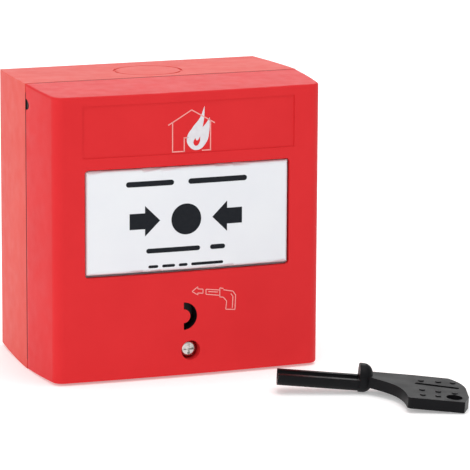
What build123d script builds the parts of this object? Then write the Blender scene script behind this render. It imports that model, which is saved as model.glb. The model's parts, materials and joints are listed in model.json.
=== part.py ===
from build123d import *
import math
import os

# Resettable wall call point for a fire alarm, with its reset key.
# Origin: centre of the wall face. +X right, +Z up, the front looks along -Y.
# "Depth" below always means the distance in front of the wall.

# ---------------------------------------------------------------- case
CASE_WIDTH = 90.0          # widest, at the seam between back box and cover
CASE_HEIGHT = 91.0         # tallest, at the seam
CASE_DEPTH = 60.3          # wall to the middle of the bowed front
WALL_WIDTH = 86.0          # back box where it meets the wall
WALL_HEIGHT = 89.4
FRONT_WIDTH = 86.7         # cover at its front corners
FRONT_HEIGHT = 89.4
SEAM_DEPTH = 33.6
SEAM_GAP = 0.4
FRONT_BOW = 1.4            # how far the middle of the front stands proud
SIDE_BELLY = 0.4           # outward curve of the back box sides
COVER_BELLY = 0.45         # outward curve of the cover sides
CORNER_RADIUS = 3.6        # upright front corners
EDGE_RADIUS = 0.7          # front top and bottom edges
SHELL = 2.0                # moulded wall thickness
ROOM = 1.0                 # how far a cutting shape runs past what it cuts

# ---------------------------------------------------------------- front face
WINDOW_WIDTH = 67.1
WINDOW_HEIGHT = 33.8
WINDOW_X = -0.45
WINDOW_Z = 5.0
WINDOW_RADIUS = 1.2
FIELD_WIDTH = 69.2         # shallow field above the window
FIELD_BOTTOM = 25.5
FIELD_TOP = 41.8
FIELD_DEPTH = 0.3
KEY_SLOT_X = -2.1
KEY_SLOT_Z = -25.9
KEY_SLOT_OUTER = 4.4
KEY_SLOT_INNER = 2.15
GUIDE_RING_OUTER = 6.4
GUIDE_RING_INNER = 4.8
GUIDE_RING_DEPTH = 56.3
NOTCH_Z = 39.1
NOTCH_HALF_HEIGHT = 1.75
NOTCH_LENGTH = 3.5

# ---------------------------------------------------------------- cover screw
SCREW_X = 0.25
SCREW_Z = -36.9
SCREW_RECESS_RADIUS = 3.1
SCREW_SEAT_DEPTH = 56.2
SCREW_HEAD_RADIUS = 2.7
SCREW_HEAD_HEIGHT = 1.9
SCREW_RADIUS = 1.5
SCREW_HOLE_RADIUS = 1.75
SCREW_TIP_DEPTH = 40.3
SCREW_BOSS_RADIUS = 5.0
SCREW_BOSS_DEPTH = 51.8
WASHER_RADIUS = 3.0
WASHER_DEPTH = 46.1
WASHER_THICKNESS = 0.4
CROSS_LENGTH = 3.4
CROSS_WIDTH = 0.8
CROSS_DEPTH = 1.0

# ---------------------------------------------------------------- back box
WALL_HOLE_SPACING = 60.0
WALL_HOLE_RADIUS = 2.2
CABLE_HOLE_RADIUS = 10.0
CABLE_HOLE_Z = 18.0
KNOCKOUT_RADIUS = 11.0
KNOCKOUT_DEPTH = 19.5
KNOCKOUT_GROOVE_WIDTH = 0.7
KNOCKOUT_GROOVE_DEPTH = 0.4
BOSS_X = 35.0
BOSS_TOP_Z = 33.5
BOSS_BOTTOM_Z = -36.5
BOSS_RADIUS = 3.5
BOSS_TOP_DEPTH = 31.3
BOSS_HOLE_DEPTH = 10.0
TONGUE_X = 22.0
TONGUE_WIDTH = 8.0

# ---------------------------------------------------------------- mechanism plate
PLATE_WIDTH = 83.0
PLATE_TOP = 38.4
PLATE_BOTTOM = -42.3
PLATE_THICKNESS = 2.0
PLATE_RADIUS = 4.0
PLATE_FRONT = BOSS_TOP_DEPTH + PLATE_THICKNESS
CABLE_WINDOW = (17.0, 13.0)
CABLE_WINDOW_AT = (22.0, -27.0)
PLATE_SCREW_RADIUS = 1.45
PLATE_SCREW_HOLE = 1.5
PLATE_SCREW_HEAD_RADIUS = 2.8
PLATE_SCREW_HEAD_HEIGHT = 1.9
PLATE_SCREW_LENGTH = 8.0
POST_RADIUS = 4.2
POST_DEPTH = 45.6
POST_HOLE_WIDTH = 3.7
POST_HOLE_HEIGHT = 4.8
POST_HOLE_RISE = 0.5       # the hole is longer upwards, where the swinging cover needs it

# ---------------------------------------------------------------- press panel
PIVOT_DEPTH = 55.3
PIVOT_Z = 25.3
PIVOT_PIN_RADIUS = 1.0
RUNNING_GAP = 0.05
PANEL_GAP = 0.4            # panel edge to window edge at the sides and the top
PANEL_BOTTOM_GAP = 0.7
PANEL_FRONT_DEPTH = 60.1
PANEL_BOW = 0.8
PANEL_BACK_DEPTH = 56.9
PANEL_EDGE_RADIUS = 1.2
CARRIER_BACK_DEPTH = 55.3
CARRIER_WIDTH = 64.0
CARRIER_TOP = 20.8
CARRIER_BOTTOM = -10.3
EAR_X = 31.0
EAR_WIDTH = 2.5
EAR_RADIUS = 2.0
EAR_FOOT_Z = 16.0
ARM_X = 34.3
ARM_WIDTH = 2.4
ARM_BOTTOM = 23.0
ARM_TOP = 29.0
ARM_DEPTH = 56.9
PUSHER_X = 17.2
PUSHER_Z = -3.0
PUSHER_RADIUS = 1.5
PUSHER_ROUNDING = 1.2
PUSHER_TIP_DEPTH = 51.86
LATCH_RIB_DEPTH = 52.8
LATCH_RIB_HEIGHT = 1.6

# ---------------------------------------------------------------- circuit board
BOARD_LEFT = -17.0
BOARD_RIGHT = 29.0
BOARD_TOP = 36.0
BOARD_BOTTOM = -9.5
BOARD_THICKNESS = 1.6
BOARD_BACK = 36.3
BOARD_FRONT = BOARD_BACK + BOARD_THICKNESS
STANDOFF_RADIUS = 2.8
STANDOFF_INSET = 3.2
BOARD_SCREW_RADIUS = 1.2
BOARD_SCREW_HEAD_RADIUS = 2.2
BOARD_SCREW_HEAD_HEIGHT = 1.6
BOARD_SCREW_LENGTH = 4.5

# ---------------------------------------------------------------- terminals
TERMINAL_WAYS = 4
TERMINAL_PITCH = 5.1
TERMINAL_LEFT = -11.0
TERMINAL_BOTTOM = 24.0
TERMINAL_HEIGHT = 9.0
TERMINAL_TALL = 10.5
TERMINAL_FRONT = BOARD_FRONT + TERMINAL_TALL
WIRE_HOLE = 3.2
WIRE_HOLE_DEPTH = 5.0
TERMINAL_SCREW_RADIUS = 1.7
TERMINAL_WELL_RADIUS = 1.8
TERMINAL_WELL_DEPTH = 2.6
TERMINAL_SLOT_WIDTH = 0.6
TERMINAL_SLOT_DEPTH = 0.6
TERMINAL_SCREW_HEIGHT = 2.0
RESISTOR_RADIUS = 1.25
RESISTOR_LENGTH = 6.3
RESISTOR_LEAD_RADIUS = 0.3
RESISTOR_SPAN = 10.0
RESISTOR_X = (-11.5, -6.5)
RESISTOR_Z = 8.0

# ---------------------------------------------------------------- micro switch
SWITCH_WIDTH = 6.4
SWITCH_LENGTH = 20.0
SWITCH_TALL = 10.0
SWITCH_BOTTOM = -9.0
SWITCH_FRONT = BOARD_FRONT + SWITCH_TALL
LEVER_PIVOT_Z = SWITCH_BOTTOM + SWITCH_LENGTH - 1.5
LEVER_PIVOT_DEPTH = SWITCH_FRONT + 0.9
LEVER_HUB_RADIUS = 0.7
LEVER_TRUNNION_RADIUS = 0.4
LEVER_TRUNNION_HOLE = 0.46
LEVER_WIDTH = 4.4
LEVER_THICKNESS = 0.4
LEVER_LENGTH = 17.5
LEVER_ANGLE = 12.0
SWITCH_EAR_WIDTH = 0.8
SWITCH_EAR_HALF = 1.1
PLUNGER_Z = 2.0
PLUNGER_RADIUS = 1.2
PLUNGER_HOLE_RADIUS = 1.26
PLUNGER_TIP_DEPTH = SWITCH_FRONT + 1.7
PLUNGER_LENGTH = 3.4
PLUNGER_HOLE_DEPTH = 3.2

# ---------------------------------------------------------------- reset slider and latch
SLIDER_RADIUS = 4.4
SLIDER_CLEARANCE = 0.06
SLIDER_BACK = 39.8
SLIDER_FRONT = 55.5
SLIDER_POCKET_RADIUS = 3.5
SLIDER_POCKET_DEPTH = 7.7
SLIDER_TUBE_OUTER = 6.6
SLIDER_TUBE_FRONT = 44.1
LUG_LEFT = -12.5
LUG_BACK = 48.8
LUG_THICKNESS = 2.0
LUG_HEIGHT = 4.0
LUG_Z = -26.4
LATCH_X = -10.7
LATCH_WIDTH = 3.0
LATCH_PIVOT_DEPTH = 45.3
LATCH_PIVOT_Z = -15.0
LATCH_HUB_RADIUS = 2.2
LATCH_TAIL_FRONT = 48.5
LATCH_TAIL_THICKNESS = 2.4
LATCH_TAIL_Z = -28.8
LATCH_NOSE_DEPTH = 53.1
LATCH_NOSE_TOP = -10.8
LATCH_NOSE_HEIGHT = 2.0
CHEEK_GAP = 0.4
CHEEK_WIDTH = 1.8
CHEEK_BOTTOM = -17.4
CHEEK_TOP = -12.6
CHEEK_FRONT = 47.5

# ---------------------------------------------------------------- springs
WIRE_RADIUS = 0.25
RESET_SPRING_RADIUS = 2.9
RESET_SPRING_LENGTH = 13.3
RESET_SPRING_PITCH = 1.9
RETURN_SPRING_X = -24.0
RETURN_SPRING_Z = -4.0
RETURN_SPRING_RADIUS = 2.3
RETURN_SPRING_LENGTH = 8.6
RETURN_SPRING_PITCH = 1.43
RETURN_POST_RADIUS = 3.2
RETURN_POST_DEPTH = 45.8
SPRING_GAP = 0.35

# ---------------------------------------------------------------- reset key
# The key lies on the surface level with the underside of the case.
KEY_COLLAR_X = 44.64
KEY_COLLAR_Y = -95.53
KEY_TURN = -18.3           # direction from the tip to the grip, seen from above
KEY_TILT = 4.4             # it rests on its collar and on the far end of its grip
KEY_COLLAR_RADIUS = 4.5
KEY_COLLAR_THICKNESS = 4.2
KEY_COLLAR_DOME = 3.0
KEY_SHAFT_LENGTH = 25.0
KEY_SHAFT_OUTER = 4.15
KEY_SHAFT_INNER = 2.4
GRIP_TOP = 1.3
GRIP_THICKNESS = 3.4
GRIP_NECK = 3.4            # half width where the grip leaves the collar
GRIP_BACK = (14.7, 2.6)
GRIP_SHOULDER = ((25.6, 1.3), (28.6, -3.7), (29.9, -10.5))
GRIP_END = (29.8, -20.7)
GRIP_TOE = (28.0, -27.2)
GRIP_HEEL = (11.0, -25.9)
GRIP_THROAT = ((10.8, -22.0), (9.9, -16.6), (8.0, -11.8), (5.0, -8.0))
GRIP_FOOT_RADIUS = 1.4
GRIP_SLOT_LENGTH = 13.8
GRIP_SLOT_WIDTH = 2.0
GRIP_SLOT_AT = (21.1, -9.1)
GRIP_SLOT_ANGLE = -12.4
GRIP_RING_HOLE = (2.5, 3.0)
GRIP_RING_AT = (25.2, -22.0)
GRIP_STUD_RADIUS = 0.9
GRIP_STUD_HEIGHT = 0.3
GRIP_STUDS = ((16.6, -4.2), (21.9, -4.3), (26.4, -4.4), (16.0, -15.4), (20.8, -16.3), (25.8, -17.1),
              (15.7, -21.5), (20.3, -21.8))

os.makedirs("parts", exist_ok=True)


def front(depth):
    """The upright plane at a depth in front of the wall; extrusions from it go towards the front."""
    return Plane.XZ.offset(depth)


def side(x):
    """The upright plane at x whose own x axis is the depth and whose own y axis is +Z."""
    return Plane(origin=(x, 0, 0), x_dir=(0, -1, 0), z_dir=(-1, 0, 0))


def save(part, name):
    part.label = name
    export_step(part, f"parts/{name}.step")


# ================================================================ back box
with BuildPart() as back_box:
    with BuildSketch(Plane.XY.offset(-CASE_HEIGHT / 2)):
        with BuildLine():
            left_side = ThreePointArc(
                (-WALL_WIDTH / 2, 0),
                (-(WALL_WIDTH + CASE_WIDTH) / 4 - SIDE_BELLY, -SEAM_DEPTH / 2),
                (-CASE_WIDTH / 2, -SEAM_DEPTH),
            )
            mirror(left_side, about=Plane.YZ)
            Line(left_side @ 0, (WALL_WIDTH / 2, 0))
            Line(left_side @ 1, (CASE_WIDTH / 2, -SEAM_DEPTH))
        make_face()
    extrude(amount=CASE_HEIGHT)
    with BuildSketch(side(CASE_WIDTH)):
        with BuildLine():
            Polyline(
                (0, WALL_HEIGHT / 2),
                (SEAM_DEPTH, CASE_HEIGHT / 2),
                (SEAM_DEPTH, -CASE_HEIGHT / 2),
                (0, -WALL_HEIGHT / 2),
                close=True,
            )
        make_face()
    extrude(amount=2 * CASE_WIDTH, mode=Mode.INTERSECT)
    rim = back_box.faces().sort_by(Axis.Y)[0]
    offset(amount=-SHELL, openings=rim, kind=Kind.INTERSECTION)
    # Four posts that the mechanism plate is screwed to.
    with BuildSketch(front(SHELL / 2)):
        with Locations(*((x, z) for x in (-BOSS_X, BOSS_X) for z in (BOSS_TOP_Z, BOSS_BOTTOM_Z))):
            Circle(BOSS_RADIUS)
    extrude(amount=BOSS_TOP_DEPTH - SHELL / 2)
    with BuildSketch(front(BOSS_TOP_DEPTH - BOSS_HOLE_DEPTH)):
        with Locations(*((x, z) for x in (-BOSS_X, BOSS_X) for z in (BOSS_TOP_Z, BOSS_BOTTOM_Z))):
            Circle(PLATE_SCREW_HOLE)
    extrude(amount=BOSS_HOLE_DEPTH + ROOM, mode=Mode.SUBTRACT)
    # Wall fixing holes and the rear cable hole.
    with BuildSketch(front(-ROOM)):
        with GridLocations(WALL_HOLE_SPACING, 0, 2, 1):
            Circle(WALL_HOLE_RADIUS)
        with Locations((0, CABLE_HOLE_Z)):
            Circle(CABLE_HOLE_RADIUS)
    extrude(amount=SHELL + 2 * ROOM, mode=Mode.SUBTRACT)
    # Round knockouts, marked by a shallow groove in the top and the underside.
    slope = (CASE_HEIGHT - WALL_HEIGHT) / 2 / SEAM_DEPTH
    knockout_z = WALL_HEIGHT / 2 + slope * KNOCKOUT_DEPTH
    for up in (1, -1):
        with BuildSketch(Plane(origin=(0, -KNOCKOUT_DEPTH, up * knockout_z), z_dir=(0, slope, up))):
            Circle(KNOCKOUT_RADIUS)
            Circle(KNOCKOUT_RADIUS - KNOCKOUT_GROOVE_WIDTH, mode=Mode.SUBTRACT)
        extrude(amount=-KNOCKOUT_GROOVE_DEPTH, mode=Mode.SUBTRACT)
save(back_box.part, "back_box")

# ================================================================ rear cable grommet
GROMMET_NECK = CABLE_HOLE_RADIUS - 0.05
GROMMET_FLANGE = CABLE_HOLE_RADIUS + 2.0
GROMMET_SKIN = 0.8
with BuildPart() as cable_grommet:
    with BuildSketch(Plane.YZ):
        with BuildLine():
            Polyline(
                (-0.2, 0),
                (-0.2, GROMMET_NECK),
                (-SHELL, GROMMET_NECK),
                (-SHELL, GROMMET_FLANGE),
                (-SHELL - 1.2, GROMMET_FLANGE),
                (-SHELL - 1.2, GROMMET_NECK - 2),
                (-0.2 - GROMMET_SKIN, GROMMET_NECK - 4),
                (-0.2 - GROMMET_SKIN, 0),
                close=True,
            )
        make_face()
    revolve(axis=Axis.Y)
grommet = Pos(0, 0, CABLE_HOLE_Z) * cable_grommet.part
save(grommet, "cable_grommet")

# ================================================================ cover
with BuildPart() as cover:
    with BuildSketch(Plane.XY.offset(-CASE_HEIGHT / 2)) as cover_plan:
        with BuildLine():
            cheek = ThreePointArc(
                (-CASE_WIDTH / 2, -SEAM_DEPTH - SEAM_GAP),
                (-(CASE_WIDTH + FRONT_WIDTH) / 4 - COVER_BELLY, -(SEAM_DEPTH + CASE_DEPTH - FRONT_BOW) / 2),
                (-FRONT_WIDTH / 2, -CASE_DEPTH + FRONT_BOW),
            )
            mirror(cheek, about=Plane.YZ)
            Line(cheek @ 0, (CASE_WIDTH / 2, -SEAM_DEPTH - SEAM_GAP))
            ThreePointArc(cheek @ 1, (0, -CASE_DEPTH), (FRONT_WIDTH / 2, -CASE_DEPTH + FRONT_BOW))
        make_face()
        fillet(cover_plan.vertices().group_by(Axis.Y)[0], radius=CORNER_RADIUS)
    extrude(amount=CASE_HEIGHT)
    with BuildSketch(side(CASE_WIDTH)):
        with BuildLine():
            Polyline(
                (SEAM_DEPTH, CASE_HEIGHT / 2),
                (CASE_DEPTH + ROOM, FRONT_HEIGHT / 2),
                (CASE_DEPTH + ROOM, -FRONT_HEIGHT / 2),
                (SEAM_DEPTH, -CASE_HEIGHT / 2),
                close=True,
            )
        make_face()
    extrude(amount=2 * CASE_WIDTH, mode=Mode.INTERSECT)
    mouth = cover.faces().sort_by(Axis.Y)[-1]
    offset(amount=-SHELL, openings=mouth, kind=Kind.INTERSECTION)
    front_faces = cover.faces().filter_by(lambda f: f.bounding_box().max.Y < -CASE_DEPTH + 2 * FRONT_BOW)
    outer_front = front_faces.sort_by(Axis.Y)[0]
    fillet(outer_front.edges().filter_by(lambda e: abs(e.tangent_at(0.5).Z) < 0.1), radius=EDGE_RADIUS)
    # Screw boss and the ring that guides the key, both standing on the inside of the front.
    with BuildSketch(front(SCREW_BOSS_DEPTH)):
        with Locations((SCREW_X, SCREW_Z)):
            Circle(SCREW_BOSS_RADIUS)
    extrude(amount=CASE_DEPTH - SHELL / 2 - SCREW_BOSS_DEPTH)
    with BuildSketch(front(GUIDE_RING_DEPTH)):
        with Locations((KEY_SLOT_X, KEY_SLOT_Z)):
            Circle(GUIDE_RING_OUTER)
            Circle(GUIDE_RING_INNER, mode=Mode.SUBTRACT)
    extrude(amount=CASE_DEPTH - SHELL / 2 - GUIDE_RING_DEPTH)
    # Two tongues that reach back under the top of the box.
    TONGUE_TOP = CASE_HEIGHT / 2 - SHELL - 0.9
    with BuildSketch(side(-TONGUE_X - TONGUE_WIDTH / 2), side(TONGUE_X - TONGUE_WIDTH / 2)):
        with BuildLine():
            Polyline(
                (SEAM_DEPTH - 4.0, TONGUE_TOP),
                (SEAM_DEPTH + 1.5, TONGUE_TOP),
                (SEAM_DEPTH + 1.5, CASE_HEIGHT / 2 - SHELL / 2),
                (SEAM_DEPTH + 6.0, CASE_HEIGHT / 2 - SHELL / 2),
                (SEAM_DEPTH + 3.0, TONGUE_TOP - 1.8),
                (SEAM_DEPTH - 4.0, TONGUE_TOP - 1.8),
                close=True,
            )
        make_face()
    extrude(amount=-TONGUE_WIDTH)
    # Window for the press panel.
    with BuildSketch(front(SCREW_BOSS_DEPTH)):
        with Locations((WINDOW_X, WINDOW_Z)):
            RectangleRounded(WINDOW_WIDTH, WINDOW_HEIGHT, WINDOW_RADIUS)
    extrude(amount=CASE_DEPTH, mode=Mode.SUBTRACT)
    # Half-ring slot for the half-tube shaft of the key.
    with BuildSketch(front(GUIDE_RING_DEPTH)):
        with Locations((KEY_SLOT_X, KEY_SLOT_Z)):
            Circle(KEY_SLOT_OUTER)
            Circle(KEY_SLOT_INNER, mode=Mode.SUBTRACT)
        with Locations((KEY_SLOT_X - KEY_SLOT_OUTER, KEY_SLOT_Z)):
            Rectangle(2 * KEY_SLOT_OUTER, 3 * KEY_SLOT_OUTER, mode=Mode.SUBTRACT)
    extrude(amount=CASE_DEPTH, mode=Mode.SUBTRACT)
    # Recess and clearance hole of the cover screw.
    with BuildSketch(front(SCREW_SEAT_DEPTH)):
        with Locations((SCREW_X, SCREW_Z)):
            Circle(SCREW_RECESS_RADIUS)
    extrude(amount=CASE_DEPTH, mode=Mode.SUBTRACT)
    with BuildSketch(front(SCREW_BOSS_DEPTH - ROOM)):
        with Locations((SCREW_X, SCREW_Z)):
            Circle(SCREW_HOLE_RADIUS)
    extrude(amount=CASE_DEPTH, mode=Mode.SUBTRACT)
    # Shallow field above the window; its floor keeps the bow of the front.
    with BuildSketch(Plane.XY.offset(FIELD_BOTTOM)):
        with BuildLine():
            sag = FRONT_BOW * (FIELD_WIDTH / FRONT_WIDTH) ** 2
            floor_line = ThreePointArc(
                (-FIELD_WIDTH / 2, -CASE_DEPTH + FIELD_DEPTH + sag),
                (0, -CASE_DEPTH + FIELD_DEPTH),
                (FIELD_WIDTH / 2, -CASE_DEPTH + FIELD_DEPTH + sag),
            )
            Line(floor_line @ 0, (-FIELD_WIDTH / 2, -CASE_DEPTH - ROOM))
            Line((-FIELD_WIDTH / 2, -CASE_DEPTH - ROOM), (FIELD_WIDTH / 2, -CASE_DEPTH - ROOM))
            Line((FIELD_WIDTH / 2, -CASE_DEPTH - ROOM), floor_line @ 1)
        make_face()
    extrude(amount=FIELD_TOP - FIELD_BOTTOM, mode=Mode.SUBTRACT)
    # Small release notch at the top of each side, opening on the seam.
    with BuildSketch(side(CASE_WIDTH)):
        with Locations((SEAM_DEPTH + SEAM_GAP, NOTCH_Z)):
            Ellipse(NOTCH_LENGTH, NOTCH_HALF_HEIGHT)
    extrude(amount=2 * CASE_WIDTH, mode=Mode.SUBTRACT)
save(cover.part, "cover")

# ================================================================ mechanism plate
with BuildPart() as mechanism_plate:
    with BuildSketch(front(BOSS_TOP_DEPTH)):
        with Locations((0, (PLATE_TOP + PLATE_BOTTOM) / 2)):
            RectangleRounded(PLATE_WIDTH, PLATE_TOP - PLATE_BOTTOM, PLATE_RADIUS)
    extrude(amount=PLATE_THICKNESS)
    # Arms that hold the pivot pins of the press panel.
    with BuildSketch(front(PLATE_FRONT)):
        with Locations(*((x, (ARM_TOP + ARM_BOTTOM) / 2) for x in (-ARM_X, ARM_X))):
            Rectangle(ARM_WIDTH, ARM_TOP - ARM_BOTTOM)
    extrude(amount=ARM_DEPTH - PLATE_FRONT)
    with BuildSketch(side(CASE_WIDTH)):
        with Locations((PIVOT_DEPTH, PIVOT_Z)):
            Circle(PIVOT_PIN_RADIUS)
    extrude(amount=2 * CASE_WIDTH, mode=Mode.SUBTRACT)
    # Tube for the reset slider.
    with BuildSketch(front(PLATE_FRONT)):
        with Locations((KEY_SLOT_X, KEY_SLOT_Z)):
            Circle(SLIDER_TUBE_OUTER)
            Circle(SLIDER_RADIUS + SLIDER_CLEARANCE, mode=Mode.SUBTRACT)
    extrude(amount=SLIDER_TUBE_FRONT - PLATE_FRONT)
    # Post that takes the cover screw, and the post under the return spring.
    with BuildSketch(front(PLATE_FRONT)):
        with Locations((SCREW_X, SCREW_Z)):
            Circle(POST_RADIUS)
    extrude(amount=POST_DEPTH - PLATE_FRONT)
    with BuildSketch(front(PLATE_FRONT)):
        with Locations((RETURN_SPRING_X, RETURN_SPRING_Z)):
            Circle(RETURN_POST_RADIUS)
    extrude(amount=RETURN_POST_DEPTH - PLATE_FRONT)
    with BuildSketch(front(PLATE_FRONT + ROOM)):
        with Locations((SCREW_X, SCREW_Z + POST_HOLE_RISE)):
            SlotOverall(POST_HOLE_HEIGHT, POST_HOLE_WIDTH, rotation=90)
    extrude(amount=POST_DEPTH, mode=Mode.SUBTRACT)
    # Cheeks that hold the latch pin.
    cheek_offset = LATCH_WIDTH / 2 + CHEEK_GAP + CHEEK_WIDTH / 2
    with BuildSketch(front(PLATE_FRONT)):
        with Locations(*((LATCH_X + s * cheek_offset, (CHEEK_TOP + CHEEK_BOTTOM) / 2) for s in (-1, 1))):
            Rectangle(CHEEK_WIDTH, CHEEK_TOP - CHEEK_BOTTOM)
    extrude(amount=CHEEK_FRONT - PLATE_FRONT)
    with BuildSketch(side(LATCH_X + LATCH_WIDTH + 2 * CHEEK_WIDTH)):
        with Locations((LATCH_PIVOT_DEPTH, LATCH_PIVOT_Z)):
            Circle(PIVOT_PIN_RADIUS)
    extrude(amount=2 * LATCH_WIDTH + 4 * CHEEK_WIDTH, mode=Mode.SUBTRACT)
    # Standoffs for the circuit board, two of them drilled for its screws.
    board_corners = [
        (x, z)
        for x in (BOARD_LEFT + STANDOFF_INSET, BOARD_RIGHT - STANDOFF_INSET)
        for z in (BOARD_BOTTOM + STANDOFF_INSET, BOARD_TOP - STANDOFF_INSET)
    ]
    board_fixings = [board_corners[1], board_corners[2]]
    with BuildSketch(front(PLATE_FRONT)):
        with Locations(*board_corners):
            Circle(STANDOFF_RADIUS)
    extrude(amount=BOARD_BACK - PLATE_FRONT)
    with BuildSketch(front(BOARD_BACK - BOARD_SCREW_LENGTH)):
        with Locations(*board_fixings):
            Circle(BOARD_SCREW_RADIUS)
    extrude(amount=BOARD_SCREW_LENGTH + ROOM, mode=Mode.SUBTRACT)
    # Clearance holes of the plate screws, and the window the cable comes through.
    with BuildSketch(front(BOSS_TOP_DEPTH - ROOM)):
        with Locations(*((x, z) for x in (-BOSS_X, BOSS_X) for z in (BOSS_TOP_Z, BOSS_BOTTOM_Z))):
            Circle(PLATE_SCREW_HOLE)
        with Locations(CABLE_WINDOW_AT):
            RectangleRounded(*CABLE_WINDOW, WINDOW_RADIUS)
    extrude(amount=PLATE_THICKNESS + 2 * ROOM, mode=Mode.SUBTRACT)
save(mechanism_plate.part, "mechanism_plate")

# ================================================================ plate screws
with BuildPart() as plate_screws:
    for x in (-BOSS_X, BOSS_X):
        for z in (BOSS_TOP_Z, BOSS_BOTTOM_Z):
            with BuildSketch(front(PLATE_FRONT)):
                with Locations((x, z)):
                    Circle(PLATE_SCREW_HEAD_RADIUS)
            extrude(amount=PLATE_SCREW_HEAD_HEIGHT)
            with BuildSketch(front(PLATE_FRONT - PLATE_SCREW_LENGTH)):
                with Locations((x, z)):
                    Circle(PLATE_SCREW_RADIUS)
            extrude(amount=PLATE_SCREW_LENGTH)
            with BuildSketch(front(PLATE_FRONT + PLATE_SCREW_HEAD_HEIGHT - CROSS_DEPTH)):
                with Locations((x, z)):
                    Rectangle(CROSS_LENGTH, CROSS_WIDTH)
                    Rectangle(CROSS_WIDTH, CROSS_LENGTH)
            extrude(amount=CROSS_DEPTH + ROOM, mode=Mode.SUBTRACT)
save(plate_screws.part, "plate_screws")

# ================================================================ cover screw and its washer
with BuildPart() as cover_screw:
    with BuildSketch(front(SCREW_SEAT_DEPTH)):
        with Locations((SCREW_X, SCREW_Z)):
            Circle(SCREW_HEAD_RADIUS)
    extrude(amount=SCREW_HEAD_HEIGHT)
    head_rim = cover_screw.faces().sort_by(Axis.Y)[0].edges()
    fillet(head_rim, radius=SCREW_HEAD_HEIGHT / 2)
    with BuildSketch(front(SCREW_TIP_DEPTH)):
        with Locations((SCREW_X, SCREW_Z)):
            Circle(SCREW_RADIUS)
    extrude(amount=SCREW_SEAT_DEPTH - SCREW_TIP_DEPTH)
    with BuildSketch(front(SCREW_SEAT_DEPTH + SCREW_HEAD_HEIGHT - CROSS_DEPTH)):
        with Locations((SCREW_X, SCREW_Z)):
            Rectangle(CROSS_LENGTH, CROSS_WIDTH)
            Rectangle(CROSS_WIDTH, CROSS_LENGTH)
    extrude(amount=CROSS_DEPTH + ROOM, mode=Mode.SUBTRACT)
save(cover_screw.part, "cover_screw")

with BuildPart() as screw_washer:
    with BuildSketch(front(WASHER_DEPTH)):
        with Locations((SCREW_X, SCREW_Z)):
            Circle(WASHER_RADIUS)
            Circle(SCREW_RADIUS, mode=Mode.SUBTRACT)
    extrude(amount=WASHER_THICKNESS)
save(screw_washer.part, "screw_washer")

# ================================================================ press panel
PANEL_WIDTH = WINDOW_WIDTH - 2 * PANEL_GAP
PANEL_TOP = WINDOW_Z + WINDOW_HEIGHT / 2 - PANEL_GAP
PANEL_BOTTOM = WINDOW_Z - WINDOW_HEIGHT / 2 + PANEL_BOTTOM_GAP
with BuildPart() as press_panel:
    with BuildSketch(Plane.XY.offset(PANEL_BOTTOM)):
        with BuildLine():
            face_line = ThreePointArc(
                (WINDOW_X - PANEL_WIDTH / 2, -PANEL_FRONT_DEPTH + PANEL_BOW),
                (WINDOW_X, -PANEL_FRONT_DEPTH),
                (WINDOW_X + PANEL_WIDTH / 2, -PANEL_FRONT_DEPTH + PANEL_BOW),
            )
            Polyline(
                face_line @ 0,
                (WINDOW_X - PANEL_WIDTH / 2, -PANEL_BACK_DEPTH),
                (WINDOW_X + PANEL_WIDTH / 2, -PANEL_BACK_DEPTH),
                face_line @ 1,
            )
        make_face()
    extrude(amount=PANEL_TOP - PANEL_BOTTOM)
    panel_face = press_panel.faces().sort_by(Axis.Y)[0]
    fillet(panel_face.edges(), radius=PANEL_EDGE_RADIUS)
save(press_panel.part, "press_panel")

with BuildPart() as panel_carrier:
    with BuildSketch(front(CARRIER_BACK_DEPTH)):
        with Locations((0, (CARRIER_TOP + CARRIER_BOTTOM) / 2)):
            RectangleRounded(CARRIER_WIDTH, CARRIER_TOP - CARRIER_BOTTOM, WINDOW_RADIUS)
    extrude(amount=PANEL_BACK_DEPTH - CARRIER_BACK_DEPTH)
    # Ears up to the pivot.
    for x in (-EAR_X, EAR_X):
        with BuildSketch(side(x + EAR_WIDTH / 2)):
            with Locations((PIVOT_DEPTH, PIVOT_Z)):
                Circle(EAR_RADIUS)
            with BuildLine():
                Polyline(
                    (PIVOT_DEPTH - EAR_RADIUS, PIVOT_Z),
                    (PIVOT_DEPTH - EAR_RADIUS, EAR_FOOT_Z + EAR_RADIUS),
                    (PIVOT_DEPTH, EAR_FOOT_Z),
                    (PANEL_BACK_DEPTH, EAR_FOOT_Z),
                    (PANEL_BACK_DEPTH, PIVOT_Z),
                    close=True,
                )
            make_face()
        extrude(amount=EAR_WIDTH)
    with BuildSketch(side(CASE_WIDTH)):
        with Locations((PIVOT_DEPTH, PIVOT_Z)):
            Circle(PIVOT_PIN_RADIUS + RUNNING_GAP)
    extrude(amount=2 * CASE_WIDTH, mode=Mode.SUBTRACT)
    # The post that works the switch, and the rib that the latch holds.
    with BuildSketch(front(PUSHER_TIP_DEPTH)):
        with Locations((PUSHER_X, PUSHER_Z)):
            Circle(PUSHER_RADIUS)
    extrude(amount=CARRIER_BACK_DEPTH - PUSHER_TIP_DEPTH)
    pusher_tip = panel_carrier.faces().sort_by(Axis.Y)[-1]
    fillet(pusher_tip.edges(), radius=PUSHER_ROUNDING)
    with BuildSketch(front(LATCH_RIB_DEPTH)):
        with Locations((LATCH_X, CARRIER_BOTTOM + LATCH_RIB_HEIGHT / 2)):
            Rectangle(LATCH_WIDTH, LATCH_RIB_HEIGHT)
    extrude(amount=CARRIER_BACK_DEPTH - LATCH_RIB_DEPTH)
save(panel_carrier.part, "panel_carrier")

with BuildPart() as pivot_pins:
    pin_inner = EAR_X - EAR_WIDTH / 2 - 0.6
    pin_outer = ARM_X + ARM_WIDTH / 2
    for start in (pin_outer, -pin_inner):
        with BuildSketch(side(start)):
            with Locations((PIVOT_DEPTH, PIVOT_Z)):
                Circle(PIVOT_PIN_RADIUS)
        extrude(amount=pin_outer - pin_inner)
save(pivot_pins.part, "pivot_pins")

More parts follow.
